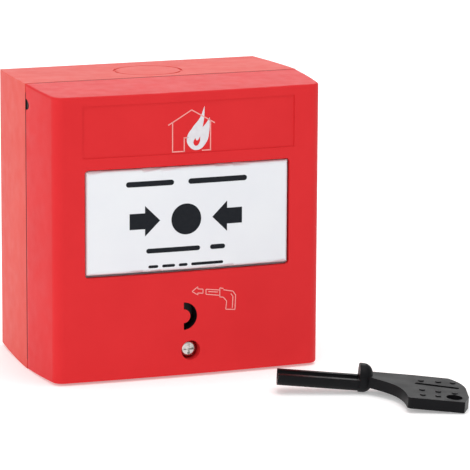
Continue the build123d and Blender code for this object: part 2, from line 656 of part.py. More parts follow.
# ================================================================ circuit board
with BuildPart() as circuit_board:
    with BuildSketch(front(BOARD_BACK)):
        with Locations(((BOARD_LEFT + BOARD_RIGHT) / 2, (BOARD_TOP + BOARD_BOTTOM) / 2)):
            Rectangle(BOARD_RIGHT - BOARD_LEFT, BOARD_TOP - BOARD_BOTTOM)
        with Locations(*board_fixings):
            Circle(BOARD_SCREW_RADIUS, mode=Mode.SUBTRACT)
    extrude(amount=BOARD_THICKNESS)
save(circuit_board.part, "circuit_board")

with BuildPart() as board_screws:
    for spot in board_fixings:
        with BuildSketch(front(BOARD_FRONT)):
            with Locations(spot):
                Circle(BOARD_SCREW_HEAD_RADIUS)
        extrude(amount=BOARD_SCREW_HEAD_HEIGHT)
        with BuildSketch(front(BOARD_FRONT - BOARD_SCREW_LENGTH)):
            with Locations(spot):
                Circle(BOARD_SCREW_RADIUS - RUNNING_GAP)
        extrude(amount=BOARD_SCREW_LENGTH)
        with BuildSketch(front(BOARD_FRONT + BOARD_SCREW_HEAD_HEIGHT - TERMINAL_SLOT_DEPTH)):
            with Locations(spot):
                Rectangle(2 * BOARD_SCREW_HEAD_RADIUS, TERMINAL_SLOT_WIDTH)
        extrude(amount=TERMINAL_SLOT_DEPTH + ROOM, mode=Mode.SUBTRACT)
save(board_screws.part, "board_screws")

# ================================================================ terminal block
terminal_x = [TERMINAL_LEFT + TERMINAL_PITCH * (way + 0.5) for way in range(TERMINAL_WAYS)]
terminal_z = TERMINAL_BOTTOM + TERMINAL_HEIGHT / 2
with BuildPart() as terminal_block:
    with BuildSketch(front(BOARD_FRONT)):
        with Locations((TERMINAL_LEFT + TERMINAL_WAYS * TERMINAL_PITCH / 2, terminal_z)):
            Rectangle(TERMINAL_WAYS * TERMINAL_PITCH, TERMINAL_HEIGHT)
    extrude(amount=TERMINAL_TALL)
    fillet(terminal_block.faces().sort_by(Axis.Y)[0].edges(), radius=RUNNING_GAP * 10)
    with BuildSketch(front(TERMINAL_FRONT - TERMINAL_WELL_DEPTH)):
        with Locations(*((x, terminal_z) for x in terminal_x)):
            Circle(TERMINAL_WELL_RADIUS)
    extrude(amount=TERMINAL_WELL_DEPTH + ROOM, mode=Mode.SUBTRACT)
    with BuildSketch(Plane.XY.offset(TERMINAL_BOTTOM + TERMINAL_HEIGHT - WIRE_HOLE_DEPTH)):
        with Locations(*((x, -BOARD_FRONT - WIRE_HOLE) for x in terminal_x)):
            Rectangle(WIRE_HOLE, WIRE_HOLE)
    extrude(amount=WIRE_HOLE_DEPTH + ROOM, mode=Mode.SUBTRACT)
save(terminal_block.part, "terminal_block")

with BuildPart() as terminal_screws:
    for x in terminal_x:
        with BuildSketch(front(TERMINAL_FRONT - TERMINAL_WELL_DEPTH)):
            with Locations((x, terminal_z)):
                Circle(TERMINAL_SCREW_RADIUS)
        extrude(amount=TERMINAL_SCREW_HEIGHT)
        with BuildSketch(front(TERMINAL_FRONT - TERMINAL_WELL_DEPTH + TERMINAL_SCREW_HEIGHT)):
            with Locations((x, terminal_z)):
                Rectangle(2 * TERMINAL_SCREW_RADIUS, TERMINAL_SLOT_WIDTH)
        extrude(amount=-TERMINAL_SLOT_DEPTH, mode=Mode.SUBTRACT)
save(terminal_screws.part, "terminal_screws")

# ================================================================ resistors on the board
lead_depth = BOARD_FRONT + RESISTOR_RADIUS + RUNNING_GAP
lead_low = RESISTOR_Z - RESISTOR_SPAN / 2
lead_high = RESISTOR_Z + RESISTOR_SPAN / 2
with BuildPart() as resistors:
    for x in RESISTOR_X:
        with BuildLine() as lead:
            FilletPolyline(
                (x, -BOARD_FRONT, lead_low),
                (x, -lead_depth, lead_low),
                (x, -lead_depth, lead_high),
                (x, -BOARD_FRONT, lead_high),
                radius=2 * RESISTOR_LEAD_RADIUS,
            )
        with BuildSketch(Plane(origin=lead.line @ 0, z_dir=lead.line % 0)):
            Circle(RESISTOR_LEAD_RADIUS)
        sweep(path=lead.line)
        with BuildSketch(Plane.XY.offset(RESISTOR_Z - RESISTOR_LENGTH / 2)):
            with Locations((x, -lead_depth)):
                Circle(RESISTOR_RADIUS)
        extrude(amount=RESISTOR_LENGTH)
save(resistors.part, "resistors")

# ================================================================ micro switch
with BuildPart() as switch_body:
    with BuildSketch(front(BOARD_FRONT)):
        with Locations((PUSHER_X, SWITCH_BOTTOM + SWITCH_LENGTH / 2)):
            Rectangle(SWITCH_WIDTH, SWITCH_LENGTH)
    extrude(amount=SWITCH_TALL)
    fillet(switch_body.edges().filter_by(Axis.Y), radius=RUNNING_GAP * 10)
    ear_x = (SWITCH_WIDTH - SWITCH_EAR_WIDTH) / 2
    with BuildSketch(front(SWITCH_FRONT)):
        with Locations(*((PUSHER_X + s * ear_x, LEVER_PIVOT_Z) for s in (-1, 1))):
            Rectangle(SWITCH_EAR_WIDTH, 2 * SWITCH_EAR_HALF)
    extrude(amount=LEVER_PIVOT_DEPTH + SWITCH_EAR_HALF - SWITCH_FRONT)
    with BuildSketch(side(PUSHER_X + SWITCH_WIDTH)):
        with Locations((LEVER_PIVOT_DEPTH, LEVER_PIVOT_Z)):
            Circle(LEVER_TRUNNION_HOLE)
    extrude(amount=2 * SWITCH_WIDTH, mode=Mode.SUBTRACT)
    with BuildSketch(front(SWITCH_FRONT - PLUNGER_HOLE_DEPTH)):
        with Locations((PUSHER_X, PLUNGER_Z)):
            Circle(PLUNGER_HOLE_RADIUS)
    extrude(amount=PLUNGER_HOLE_DEPTH + ROOM, mode=Mode.SUBTRACT)
save(switch_body.part, "switch_body")

with BuildPart() as switch_plunger:
    with BuildSketch(front(PLUNGER_TIP_DEPTH - PLUNGER_LENGTH)):
        with Locations((PUSHER_X, PLUNGER_Z)):
            Circle(PLUNGER_RADIUS)
    extrude(amount=PLUNGER_LENGTH)
    fillet(switch_plunger.faces().sort_by(Axis.Y)[0].edges(), radius=PLUNGER_RADIUS / 2)
save(switch_plunger.part, "switch_plunger")

lever_plane = side(PUSHER_X + LEVER_WIDTH / 2)
with BuildPart() as switch_lever:
    with BuildSketch(lever_plane):
        with Locations((LEVER_PIVOT_DEPTH, LEVER_PIVOT_Z)):
            Circle(LEVER_HUB_RADIUS)
        with Locations(Location((LEVER_PIVOT_DEPTH, LEVER_PIVOT_Z), LEVER_ANGLE)):
            Rectangle(LEVER_THICKNESS, LEVER_LENGTH, align=(Align.CENTER, Align.MAX))
    extrude(amount=LEVER_WIDTH)
    with BuildSketch(side(PUSHER_X + SWITCH_WIDTH / 2)):
        with Locations((LEVER_PIVOT_DEPTH, LEVER_PIVOT_Z)):
            Circle(LEVER_TRUNNION_RADIUS)
    extrude(amount=SWITCH_WIDTH)
save(switch_lever.part, "switch_lever")

# ================================================================ reset slider
with BuildPart() as reset_slider:
    with BuildSketch(front(SLIDER_BACK)):
        with Locations((KEY_SLOT_X, KEY_SLOT_Z)):
            Circle(SLIDER_RADIUS)
    extrude(amount=SLIDER_FRONT - SLIDER_BACK)
    with BuildSketch(front(LUG_BACK)):
        with Locations(((LUG_LEFT + KEY_SLOT_X) / 2, LUG_Z)):
            Rectangle(KEY_SLOT_X - LUG_LEFT, LUG_HEIGHT)
    extrude(amount=LUG_THICKNESS)
    with BuildSketch(front(SLIDER_BACK)):
        with Locations((KEY_SLOT_X, KEY_SLOT_Z)):
            Circle(SLIDER_POCKET_RADIUS)
    extrude(amount=SLIDER_POCKET_DEPTH, mode=Mode.SUBTRACT)
save(reset_slider.part, "reset_slider")

# ================================================================ reset latch and its pin
with BuildPart() as reset_latch:
    with BuildSketch(side(LATCH_X + LATCH_WIDTH / 2)):
        with Locations((LATCH_PIVOT_DEPTH, LATCH_PIVOT_Z)):
            Circle(LATCH_HUB_RADIUS)
        with BuildLine():
            Polyline(
                (LATCH_PIVOT_DEPTH, LATCH_PIVOT_Z + LATCH_HUB_RADIUS),
                (LATCH_NOSE_DEPTH, LATCH_NOSE_TOP),
                (LATCH_NOSE_DEPTH, LATCH_NOSE_TOP - LATCH_NOSE_HEIGHT),
                (LATCH_TAIL_FRONT, LATCH_PIVOT_Z),
                (LATCH_TAIL_FRONT, LATCH_TAIL_Z),
                (LATCH_TAIL_FRONT - LATCH_TAIL_THICKNESS, LATCH_TAIL_Z),
                (LATCH_PIVOT_DEPTH - LATCH_HUB_RADIUS, LATCH_PIVOT_Z),
                close=True,
            )
        make_face()
        with Locations((LATCH_PIVOT_DEPTH, LATCH_PIVOT_Z)):
            Circle(PIVOT_PIN_RADIUS + RUNNING_GAP, mode=Mode.SUBTRACT)
    extrude(amount=LATCH_WIDTH)
save(reset_latch.part, "reset_latch")

with BuildPart() as latch_pin:
    pin_half = cheek_offset + CHEEK_WIDTH / 2
    with BuildSketch(side(LATCH_X + pin_half)):
        with Locations((LATCH_PIVOT_DEPTH, LATCH_PIVOT_Z)):
            Circle(PIVOT_PIN_RADIUS)
    extrude(amount=2 * pin_half)
save(latch_pin.part, "latch_pin")

# ================================================================ springs
with BuildPart() as reset_spring:
    with BuildLine() as reset_coil:
        Helix(
            pitch=RESET_SPRING_PITCH,
            height=RESET_SPRING_LENGTH,
            radius=RESET_SPRING_RADIUS,
            center=(KEY_SLOT_X, -PLATE_FRONT - SPRING_GAP, KEY_SLOT_Z),
            direction=(0, -1, 0),
        )
    with BuildSketch(Plane(origin=reset_coil.line @ 0, z_dir=reset_coil.line % 0)):
        Circle(WIRE_RADIUS)
    sweep(path=reset_coil.line, is_frenet=True)
save(reset_spring.part, "reset_spring")

with BuildPart() as return_spring:
    with BuildLine() as return_coil:
        Helix(
            pitch=RETURN_SPRING_PITCH,
            height=RETURN_SPRING_LENGTH,
            radius=RETURN_SPRING_RADIUS,
            center=(RETURN_SPRING_X, -RETURN_POST_DEPTH - SPRING_GAP, RETURN_SPRING_Z),
            direction=(0, -1, 0),
        )
    with BuildSketch(Plane(origin=return_coil.line @ 0, z_dir=return_coil.line % 0)):
        Circle(WIRE_RADIUS)
    sweep(path=return_coil.line, is_frenet=True)
save(return_spring.part, "return_spring")

# ================================================================ reset key
turn = math.radians(KEY_TURN)
tilt = math.radians(KEY_TILT)
key_along = Vector(math.cos(turn) * math.cos(tilt), math.sin(turn) * math.cos(tilt), -math.sin(tilt))
key_up = Vector(math.cos(turn) * math.sin(tilt), math.sin(turn) * math.sin(tilt), math.cos(tilt))
key_centre = (KEY_COLLAR_X, KEY_COLLAR_Y, -CASE_HEIGHT / 2 + KEY_COLLAR_RADIUS)
key_flat = Plane(origin=key_centre, x_dir=key_along, z_dir=key_up)
key_section = Plane(origin=key_centre, x_dir=key_flat.y_dir, z_dir=key_along)
with BuildPart() as reset_key:
    with BuildSketch(key_section.offset(-KEY_COLLAR_THICKNESS / 2)):
        Circle(KEY_COLLAR_RADIUS)
    extrude(amount=KEY_COLLAR_THICKNESS)
    collar_back = reset_key.edges().sort_by(Axis(key_centre, key_along))[-1]
    fillet(collar_back, radius=KEY_COLLAR_DOME)
    # Grip: a flat pistol shape.
    with BuildSketch(key_flat.offset(GRIP_TOP)) as grip_outline:
        with BuildLine():
            Polyline((0, -GRIP_NECK), (0, GRIP_NECK), GRIP_BACK, GRIP_SHOULDER[0])
            ThreePointArc(*GRIP_SHOULDER)
            Polyline(GRIP_SHOULDER[-1], GRIP_END, GRIP_TOE, GRIP_HEEL, GRIP_THROAT[0])
            Spline(*GRIP_THROAT, (0, -GRIP_NECK))
        make_face()
        foot = grip_outline.vertices().group_by(Axis((0, 0, 0), key_flat.y_dir))[0]
        fillet(foot, radius=GRIP_FOOT_RADIUS)
        with Locations(GRIP_RING_AT):
            Ellipse(*GRIP_RING_HOLE, mode=Mode.SUBTRACT)
        with Locations(GRIP_SLOT_AT):
            SlotOverall(GRIP_SLOT_LENGTH, GRIP_SLOT_WIDTH, rotation=GRIP_SLOT_ANGLE, mode=Mode.SUBTRACT)
    extrude(amount=-GRIP_THICKNESS)
    with BuildSketch(key_flat.offset(GRIP_TOP)):
        with Locations(*GRIP_STUDS):
            Circle(GRIP_STUD_RADIUS)
    extrude(amount=GRIP_STUD_HEIGHT)
    # Shaft: a half tube, open upwards.
    with BuildSketch(key_section.offset(-KEY_COLLAR_THICKNESS / 2 - KEY_SHAFT_LENGTH)):
        Circle(KEY_SHAFT_OUTER)
        Circle(KEY_SHAFT_INNER, mode=Mode.SUBTRACT)
        with Locations((0, KEY_SHAFT_OUTER)):
            Rectangle(4 * KEY_SHAFT_OUTER, 2 * KEY_SHAFT_OUTER, mode=Mode.SUBTRACT)
    extrude(amount=KEY_SHAFT_LENGTH)
save(reset_key.part, "reset_key")
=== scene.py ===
import json
import math

import bmesh
import bpy
from mathutils import Matrix, Vector
from mathutils.bvhtree import BVHTree


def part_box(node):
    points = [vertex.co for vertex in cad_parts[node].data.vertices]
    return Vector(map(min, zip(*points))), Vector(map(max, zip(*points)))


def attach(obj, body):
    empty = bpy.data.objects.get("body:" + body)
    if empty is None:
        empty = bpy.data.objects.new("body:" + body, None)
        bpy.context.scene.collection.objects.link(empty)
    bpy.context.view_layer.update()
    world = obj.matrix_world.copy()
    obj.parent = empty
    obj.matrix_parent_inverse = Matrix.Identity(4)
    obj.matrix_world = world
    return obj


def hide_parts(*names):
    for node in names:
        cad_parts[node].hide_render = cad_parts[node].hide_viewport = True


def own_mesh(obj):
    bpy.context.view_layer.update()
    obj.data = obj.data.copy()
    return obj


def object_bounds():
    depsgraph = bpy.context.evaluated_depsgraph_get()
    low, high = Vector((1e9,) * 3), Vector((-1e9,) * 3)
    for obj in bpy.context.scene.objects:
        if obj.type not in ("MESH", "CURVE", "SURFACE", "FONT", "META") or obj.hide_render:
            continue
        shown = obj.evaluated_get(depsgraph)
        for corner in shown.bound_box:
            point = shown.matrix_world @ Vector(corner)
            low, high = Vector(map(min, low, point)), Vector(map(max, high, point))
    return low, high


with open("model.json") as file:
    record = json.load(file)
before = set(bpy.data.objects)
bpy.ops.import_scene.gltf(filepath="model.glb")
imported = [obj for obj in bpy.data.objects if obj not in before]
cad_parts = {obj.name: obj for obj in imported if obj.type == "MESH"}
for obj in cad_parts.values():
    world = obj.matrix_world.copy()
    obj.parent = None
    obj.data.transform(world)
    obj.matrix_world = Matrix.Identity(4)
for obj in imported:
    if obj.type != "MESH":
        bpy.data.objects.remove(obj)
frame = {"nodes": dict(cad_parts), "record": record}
cad_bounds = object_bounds()

MM = 0.001

# ---------------------------------------------------------------- camera
# A long lens, looking down a little at a point beside the case.
CAMERA_AZIMUTH = math.radians(-20.42)
CAMERA_ELEVATION = math.radians(11.90)
CAMERA_ROLL = math.radians(0.316)
CAMERA_DISTANCE = 1113.7 * MM
CAMERA_TARGET = Vector((26.0, -30.0, -8.02)) * MM
CAMERA_LENS = 266.1
SENSOR_WIDTH = 36.0

# ---------------------------------------------------------------- printed marks, in mm
# The press dot stands off the panel's middle, and the arrows point at the dot.
DOT_AT = (-0.83, -0.22)
DOT_RADIUS = 4.88
ARROW_LENGTH = 9.88
ARROW_HEAD = 4.9
ARROW_HALF_HEIGHT = 4.8
ARROW_SHAFT_HALF = 2.5
ARROW_TIP = 8.55
ARROW_RISE = 0.12
STROKE = 0.34
KEY_STROKE = 0.8 * STROKE
PRINT_LIFT = 0.03
PRINT_SINK = 0.15
SLICE = 1.5

# ---------------------------------------------------------------- edges and welds, in mm and degrees
WELD = 0.002
FLAT_ANGLE = 0.5
PANEL_FLAT_ANGLE = 0.001
PANEL_SMOOTH_ANGLE = 5
CRISP_ANGLE = 35
EDGE_BREAK = 0.12
KEY_EDGE_BREAK = 0.2
COVER_RIM_BREAK = 0.45
BOX_RIM_BREAK = -0.1

# ---------------------------------------------------------------- stage and light
FLOOR_GLOW = 0.3
FLOOR_SIZE = 4.0
FLOOR_GAP = 0.02
SKY = 0.52


# ================================================================ materials
# Scales are in cycles per metre, and heights in metres.
MOTTLE_SCALE = 60.0
GRAIN_PER_PATCH = 12
TURNING_SCALE = 900.0
TURNING_HEIGHT = 0.02 * MM
DULL_SCALE = 250.0
DULL_SHADE = 0.6
WEAVE_SCALE = 420.0
WEAVE_HEIGHT = 0.012 * MM
LACQUER_SCALE = 300.0
INK_SCALE = 700.0
INK_HEIGHT = 0.01 * MM


def blank_material(name):
    """A material with its Principled shader and its object coordinates."""
    material = bpy.data.materials.new(name)
    material.use_nodes = True
    tree = material.node_tree
    shader = tree.nodes["Principled BSDF"]
    coords = tree.nodes.new("ShaderNodeTexCoord").outputs["Object"]
    return material, tree, shader, coords


def noise(tree, coords, scale, detail=2.0, roughness=0.5):
    """Noise from 0 to 1 over the piece's own coordinates."""
    node = tree.nodes.new("ShaderNodeTexNoise")
    tree.links.new(coords, node.inputs["Vector"])
    node.inputs["Scale"].default_value = scale
    node.inputs["Detail"].default_value = detail
    node.inputs["Roughness"].default_value = roughness
    return node.outputs["Fac"]


def spread(tree, value, low, high, start=0.3, stop=0.7):
    """value, stretched from start..stop to low..high."""
    node = tree.nodes.new("ShaderNodeMapRange")
    tree.links.new(value, node.inputs["Value"])
    node.inputs["From Min"].default_value = start
    node.inputs["From Max"].default_value = stop
    node.inputs["To Min"].default_value = low
    node.inputs["To Max"].default_value = high
    return node.outputs["Result"]


def mix_colours(tree, share, first, second):
    """Two colours mixed by a share from 0 to 1."""
    node = tree.nodes.new("ShaderNodeMix")
    node.data_type = "RGBA"
    tree.links.new(share, node.inputs["Factor"])
    node.inputs["A"].default_value = (*first, 1.0)
    node.inputs["B"].default_value = (*second, 1.0)
    return node.outputs["Result"]


def bump(tree, height, distance):
    """A relief of a given height in metres, read from 0 to 1."""
    node = tree.nodes.new("ShaderNodeBump")
    tree.links.new(height, node.inputs["Height"])
    node.inputs["Distance"].default_value = distance
    node.inputs["Strength"].default_value = 1.0
    return node.outputs["Normal"]


def moulded_plastic(name, colour, shade, grain, grain_height, low_gloss, high_gloss, specular=0.5):
    """Injection-moulded plastic: a faint mottle, a fine spark-eroded grain and uneven gloss."""
    material, tree, shader, coords = blank_material(name)
    mottle = noise(tree, coords, MOTTLE_SCALE, 4.0)
    tinted = mix_colours(tree, spread(tree, mottle, 0.0, 1.0), colour, shade)
    tree.links.new(tinted, shader.inputs["Base Color"])
    fine = noise(tree, coords, grain, 3.0, 0.6)
    patches = noise(tree, coords, grain / GRAIN_PER_PATCH, 2.0)
    tree.links.new(spread(tree, patches, low_gloss, high_gloss), shader.inputs["Roughness"])
    tree.links.new(bump(tree, fine, grain_height), shader.inputs["Normal"])
    shader.inputs["Specular IOR Level"].default_value = specular
    return material


def plated_steel(name, colour, low_gloss, high_gloss):
    """Zinc-plated steel with fine turning marks and dull patches."""
    material, tree, shader, coords = blank_material(name)
    marks = noise(tree, coords, TURNING_SCALE, 3.0, 0.7)
    dull = noise(tree, coords, DULL_SCALE, 2.0)
    darker = tuple(c * DULL_SHADE for c in colour)
    tinted = mix_colours(tree, spread(tree, dull, 0.0, 1.0), colour, darker)
    tree.links.new(tinted, shader.inputs["Base Color"])
    tree.links.new(spread(tree, marks, low_gloss, high_gloss), shader.inputs["Roughness"])
    tree.links.new(bump(tree, marks, TURNING_HEIGHT), shader.inputs["Normal"])
    shader.inputs["Metallic"].default_value = 1.0
    return material


def board_laminate():
    """Green lacquered laminate, with the glass cloth's weave faint under the lacquer."""
    material, tree, shader, coords = blank_material("board_laminate")
    cloth = []
    for direction in ("X", "Z"):
        threads = tree.nodes.new("ShaderNodeTexWave")
        threads.bands_direction = direction
        tree.links.new(coords, threads.inputs["Vector"])
        threads.inputs["Scale"].default_value = WEAVE_SCALE
        threads.inputs["Distortion"].default_value = 0.6
        cloth.append(threads.outputs["Fac"])
    weave = tree.nodes.new("ShaderNodeMath")
    weave.operation = "MULTIPLY"
    for thread, socket in zip(cloth, weave.inputs):
        tree.links.new(thread, socket)
    tree.links.new(
        mix_colours(tree, weave.outputs["Value"], (0.010, 0.105, 0.036), (0.016, 0.145, 0.052)),
        shader.inputs["Base Color"]
    )
    lacquer = noise(tree, coords, LACQUER_SCALE, 2.0)
    tree.links.new(spread(tree, lacquer, 0.2, 0.34), shader.inputs["Roughness"])
    tree.links.new(bump(tree, weave.outputs["Value"], WEAVE_HEIGHT), shader.inputs["Normal"])
    return material


def printing_ink(name, colour, shade, low_gloss, high_gloss, specular=0.5):
    """Screen-printed ink: a little uneven in cover, with a faint mesh texture."""
    material, tree, shader, coords = blank_material(name)
    cover = noise(tree, coords, INK_SCALE, 2.0)
    tinted = mix_colours(tree, spread(tree, cover, 0.0, 1.0), colour, shade)
    tree.links.new(tinted, shader.inputs["Base Color"])
    tree.links.new(spread(tree, cover, low_gloss, high_gloss), shader.inputs["Roughness"])
    tree.links.new(bump(tree, cover, INK_HEIGHT), shader.inputs["Normal"])
    shader.inputs["Specular IOR Level"].default_value = specular
    return material


RED = moulded_plastic(
    "red_cover", (0.70, 0.026, 0.030), (0.67, 0.023, 0.027), grain=2600.0, grain_height=0.014 * MM,
    low_gloss=0.42, high_gloss=0.52, specular=0.1
)
RED_BOX = moulded_plastic(
    "red_box", (0.73, 0.075, 0.058), (0.70, 0.062, 0.048), grain=2200.0, grain_height=0.016 * MM,
    low_gloss=0.42, high_gloss=0.52, specular=0.12
)
WHITE = moulded_plastic(
    "white_panel", (0.80, 0.82, 0.85), (0.77, 0.79, 0.83), grain=1800.0, grain_height=0.006 * MM,
    low_gloss=0.3, high_gloss=0.4
)
GREY = moulded_plastic(
    "grey_chassis", (0.42, 0.43, 0.43), (0.38, 0.39, 0.39), grain=2000.0, grain_height=0.01 * MM,
    low_gloss=0.4, high_gloss=0.5
)
BLACK = moulded_plastic(
    "black_plastic", (0.004, 0.004, 0.005), (0.007, 0.007, 0.008), grain=1700.0, grain_height=0.015 * MM,
    low_gloss=0.4, high_gloss=0.5, specular=0.1
)
SLIDER_BLACK = moulded_plastic(
    "black_slider", (0.006, 0.006, 0.007), (0.01, 0.01, 0.011), grain=1500.0, grain_height=0.008 * MM,
    low_gloss=0.45, high_gloss=0.55
)
BUTTON_RED = moulded_plastic(
    "red_actuator", (0.5, 0.03, 0.02), (0.45, 0.02, 0.015), grain=1500.0, grain_height=0.004 * MM,
    low_gloss=0.3, high_gloss=0.4
)
GREEN = moulded_plastic(
    "green_terminals", (0.02, 0.2, 0.06), (0.018, 0.17, 0.05), grain=1500.0, grain_height=0.006 * MM,
    low_gloss=0.32, high_gloss=0.42
)
RUBBER = moulded_plastic(
    "black_rubber", (0.02, 0.02, 0.02), (0.035, 0.034, 0.033), grain=1100.0, grain_height=0.02 * MM,
    low_gloss=0.7, high_gloss=0.85
)
CERAMIC = moulded_plastic(
    "resistor_lacquer", (0.5, 0.36, 0.2), (0.42, 0.29, 0.15), grain=900.0, grain_height=0.01 * MM,
    low_gloss=0.3, high_gloss=0.5
)
TRACK = moulded_plastic(
    "covered_copper", (0.035, 0.24, 0.085), (0.03, 0.2, 0.07), grain=1200.0, grain_height=0.004 * MM,
    low_gloss=0.2, high_gloss=0.3
)
STEEL = plated_steel("zinc_steel", (0.72, 0.71, 0.68), low_gloss=0.16, high_gloss=0.34)
WIRE = plated_steel("spring_wire", (0.42, 0.42, 0.43), low_gloss=0.25, high_gloss=0.42)
SOLDER = plated_steel("tinned_copper", (0.78, 0.78, 0.76), low_gloss=0.18, high_gloss=0.36)
BOARD = board_laminate()
BAND_BROWN = printing_ink(
    "brown_band", (0.10, 0.03, 0.012), (0.08, 0.024, 0.01), low_gloss=0.3, high_gloss=0.4
)
BAND_GOLD = printing_ink(
    "gold_band", (0.55, 0.36, 0.08), (0.46, 0.29, 0.06), low_gloss=0.25, high_gloss=0.35
)
INK = printing_ink(
    "black_ink", (0.008, 0.010, 0.014), (0.012, 0.014, 0.018), low_gloss=0.45, high_gloss=0.6, specular=0.12
)
PALE_INK = printing_ink("pale_ink", (0.84, 0.36, 0.33), (0.80, 0.31, 0.29), low_gloss=0.4, high_gloss=0.55)
FLAME_INK = printing_ink("flame_ink", (0.74, 0.73, 0.76), (0.68, 0.66, 0.70), low_gloss=0.4, high_gloss=0.55)

SLOT_MATERIALS = {
    "red_plastic": RED,
    "white_plastic": WHITE,
    "grey_plastic": GREY,
    "black_plastic": BLACK,
    "red_actuator": BUTTON_RED,
    "green_plastic": GREEN,
    "board_laminate": BOARD,
    "resistor_body": CERAMIC,
    "screw_steel": STEEL,
    "spring_steel": WIRE,
    "rubber": RUBBER,
}


def dress(thing, material):
    """Gives a CAD node its one material."""
    thing.data.materials.clear()
    thing.data.materials.append(material)


for subpart in frame["record"]["subparts"]:
    dress(frame["nodes"][subpart["node"]], SLOT_MATERIALS[subpart["material_slot"]])
dress(frame["nodes"]["reset_slider"], SLIDER_BLACK)


# ================================================================ helpers for pieces
def finished(mesh, name, material, smooth=None):
    """Turns a bmesh into an object at the origin, shaded smooth up to an angle in degrees."""
    data = bpy.data.meshes.new(name)
    mesh.to_mesh(data)
    mesh.free()
    piece = bpy.data.objects.new(name, data)
    bpy.context.scene.collection.objects.link(piece)
    data.materials.append(material)
    if smooth is not None:
        data.shade_smooth()
        data.set_sharp_from_angle(angle=math.radians(smooth))
    return piece


def merged_copy(node, flat_angle=FLAT_ANGLE):
    """The CAD node's mesh as one welded bmesh, with its flat triangles joined, up to an angle in degrees."""
    mesh = bmesh.new()
    mesh.from_mesh(frame["nodes"][node].data)
    bmesh.ops.remove_doubles(mesh, verts=mesh.verts, dist=WELD * MM)
    bmesh.ops.dissolve_limit(
        mesh, angle_limit=math.radians(flat_angle), verts=mesh.verts, edges=mesh.edges,
        use_dissolve_boundaries=False
    )
    return mesh


def give_body(mesh, depth):
    """Extrudes a flat shape by a depth in mm: plus goes towards the wall, minus away from it."""
    skin = bmesh.ops.extrude_face_region(mesh, geom=mesh.faces[:])["geom"]
    moved = [g for g in skin if isinstance(g, bmesh.types.BMVert)]
    bmesh.ops.translate(mesh, verts=moved, vec=(0, depth * MM, 0))


def surface(node):
    """The CAD node's surface, for laying prints on."""
    mesh = bmesh.new()
    mesh.from_mesh(frame["nodes"][node].data)
    tree = BVHTree.FromBMesh(mesh)
    mesh.free()
    return tree


def drape(mesh, tree, front):
    """Cuts a flat print into narrow strips, lays it on the surface behind it and gives it a thin body."""
    xs = [v.co.x for v in mesh.verts]
    cuts = int((max(xs) - min(xs)) / (SLICE * MM))
    for step in range(1, cuts + 1):
        at = min(xs) + step * (max(xs) - min(xs)) / (cuts + 1)
        bmesh.ops.bisect_plane(
            mesh, geom=[*mesh.verts, *mesh.edges, *mesh.faces], plane_co=(at, 0, 0), plane_no=(1, 0, 0)
        )
    for vertex in mesh.verts:
        hit = tree.ray_cast(Vector((vertex.co.x, front, vertex.co.z)), Vector((0, 1, 0)))[0]
        vertex.co.y = hit.y - PRINT_LIFT * MM
    bmesh.ops.triangulate(mesh, faces=mesh.faces)
    give_body(mesh, PRINT_SINK)
    bmesh.ops.recalc_face_normals(mesh, faces=mesh.faces)


def outline(mesh, corners):
    """A flat face facing the front through corners given as (x, z) in mm."""
    return mesh.faces.new([mesh.verts.new((x * MM, 0, z * MM)) for x, z in corners])


def bar(mesh, start, end, width):
    """A straight stroke between two (x, z) points, in mm."""
    a, b = Vector(start), Vector(end)
    across = (b - a).normalized().orthogonal() * width / 2
    outline(mesh, [a + across, a - across, b - across, b + across])


def rounded_bar(mesh, x, z, length, height):
    """A word-length bar with round ends, centred on (x, z), in mm."""
    steps = 8
    corners = []
    for side in (1, -1):
        for step in range(steps + 1):
            angle = -math.pi / 2 + math.pi * step / steps
            corners.append((
                x + side * (length / 2 - height / 2 + math.cos(angle) * height / 2),
                z + side * math.sin(angle) * height / 2,
            ))
    outline(mesh, corners)


def filled_curve(mesh, outlines, resolution=10):
    """A flat filled shape, less its holes, through smooth points (x, z) in mm.

    A third value in a point makes it a sharp tip.
    """
    curve = bpy.data.curves.new("outline", "CURVE")
    curve.dimensions = "2D"
    curve.fill_mode = "BOTH"
    curve.resolution_u = resolution
    for points in outlines:
        spline = curve.splines.new("BEZIER")
        spline.bezier_points.add(len(points) - 1)
        spline.use_cyclic_u = True
        for knot, point in zip(spline.bezier_points, points):
            knot.co = (point[0] * MM, point[1] * MM, 0)
            kind = "VECTOR" if len(point) > 2 else "AUTO"
            knot.handle_left_type = kind
            knot.handle_right_type = kind
    drawn = bpy.data.objects.new("outline", curve)
    bpy.context.scene.collection.objects.link(drawn)
    flat = bpy.data.meshes.new_from_object(drawn)
    flat.transform(Matrix.Rotation(math.pi / 2, 4, "X"))
    mesh.from_mesh(flat)
    bpy.data.objects.remove(drawn)
    bmesh.ops.remove_doubles(mesh, verts=mesh.verts, dist=0.001 * MM)


def shift(mesh, x, z):
    """Moves a mesh across the front, in mm."""
    bmesh.ops.translate(mesh, verts=mesh.verts, vec=(x * MM, 0, z * MM))


# ================================================================ shells
HALF_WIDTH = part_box("back_box")[1].x / MM
HALF_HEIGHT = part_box("back_box")[1].z / MM
SEAM_GAP = 0.4
RIM_TOLERANCE = 0.03
OUTLINE_TOLERANCE = 0.08
RIM_CORNER = 3.6


def hinge_depth():
    """The depth of the cover's hinge line, which is also the depth of the cover's rim, in mm."""
    joints = frame["record"]["behaviour"]["joints"]
    return next(-joint["pos_m"][1] for joint in joints if joint["name"] == "cover_swing") / MM


COVER_RIM = hinge_depth()
BOX_RIM = COVER_RIM - SEAM_GAP


def beyond(offset, half):
    """How far a place lies past the straight part of a side of the rim, with the side's sign, in mm."""
    return math.copysign(max(abs(offset) - half + RIM_CORNER, 0), offset)


